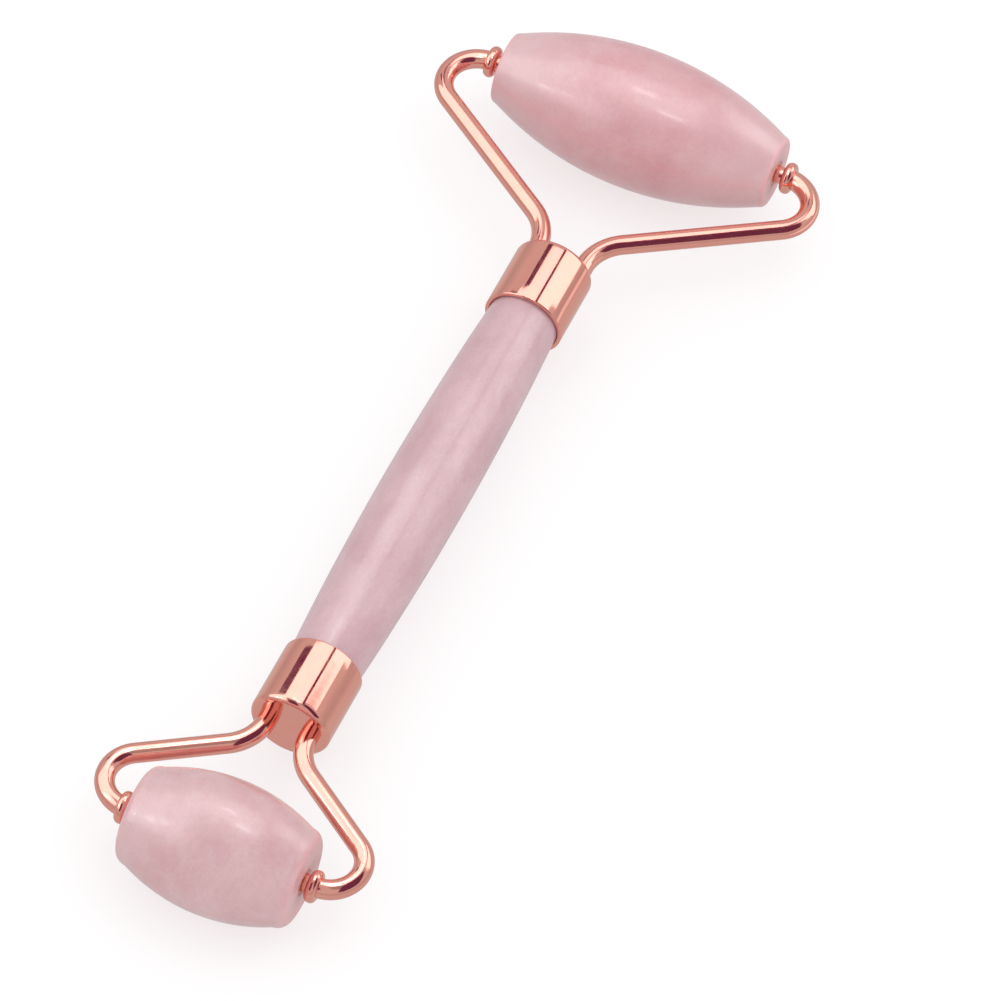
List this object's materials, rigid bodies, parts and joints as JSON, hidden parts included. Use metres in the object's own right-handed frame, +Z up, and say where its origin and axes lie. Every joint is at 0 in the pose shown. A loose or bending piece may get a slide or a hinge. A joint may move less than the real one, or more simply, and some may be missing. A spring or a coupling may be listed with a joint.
{
  "type": "face roller",
  "caption": "Facial massage roller: a polished rose quartz handle with a wide barrel at one end and a short barrel at the other, each spinning freely in a bent wire fork.",
  "frame": {"origin": "on the ground plane, under the middle of the object's bounding box; both barrels rest on the plane", "axes": "+X along the handle towards the large barrel, +Y to the left along the barrel axes, +Z up"},
  "size_m": [0.148, 0.0546, 0.0186],
  "materials": {
    "handle_stone": "polished, cloudy translucent rose quartz, paler than the barrels",
    "roller_stone": "polished, cloudy translucent rose quartz with soft veins",
    "rose_gold": "polished rose gold plating",
    "sleeve_metal": "smooth rose gold plated sleeve",
    "bonding_resin": "cured clear-amber resin"
  },
  "bodies": {
    "grip": {"handle": "handle_stone", "large_ferrule": "rose_gold", "large_ferrule_glue": "bonding_resin", "large_fork_left_arm": "rose_gold", "large_fork_right_arm": "rose_gold", "large_left_collar": "rose_gold", "large_right_collar": "rose_gold", "small_ferrule": "rose_gold", "small_ferrule_glue": "bonding_resin", "small_fork_left_arm": "rose_gold", "small_fork_right_arm": "rose_gold", "small_left_collar": "rose_gold", "small_right_collar": "rose_gold"},
    "large_roller": {"large_roller_stone": "roller_stone", "large_left_bush": "sleeve_metal", "large_right_bush": "sleeve_metal"},
    "small_roller": {"small_roller_stone": "roller_stone", "small_left_bush": "sleeve_metal", "small_right_bush": "sleeve_metal"}
  },
  "joints": [
    {"name": "large_roller_spin", "type": "hinge", "parent": "grip", "child": "large_roller", "pos_m": [0.06475, 0, 0.0093], "axis": [0, 1, 0], "continuous": true},
    {"name": "small_roller_spin", "type": "hinge", "parent": "grip", "child": "small_roller", "pos_m": [-0.06525, 0, 0.0088], "axis": [0, 1, 0], "continuous": true}
  ]
}
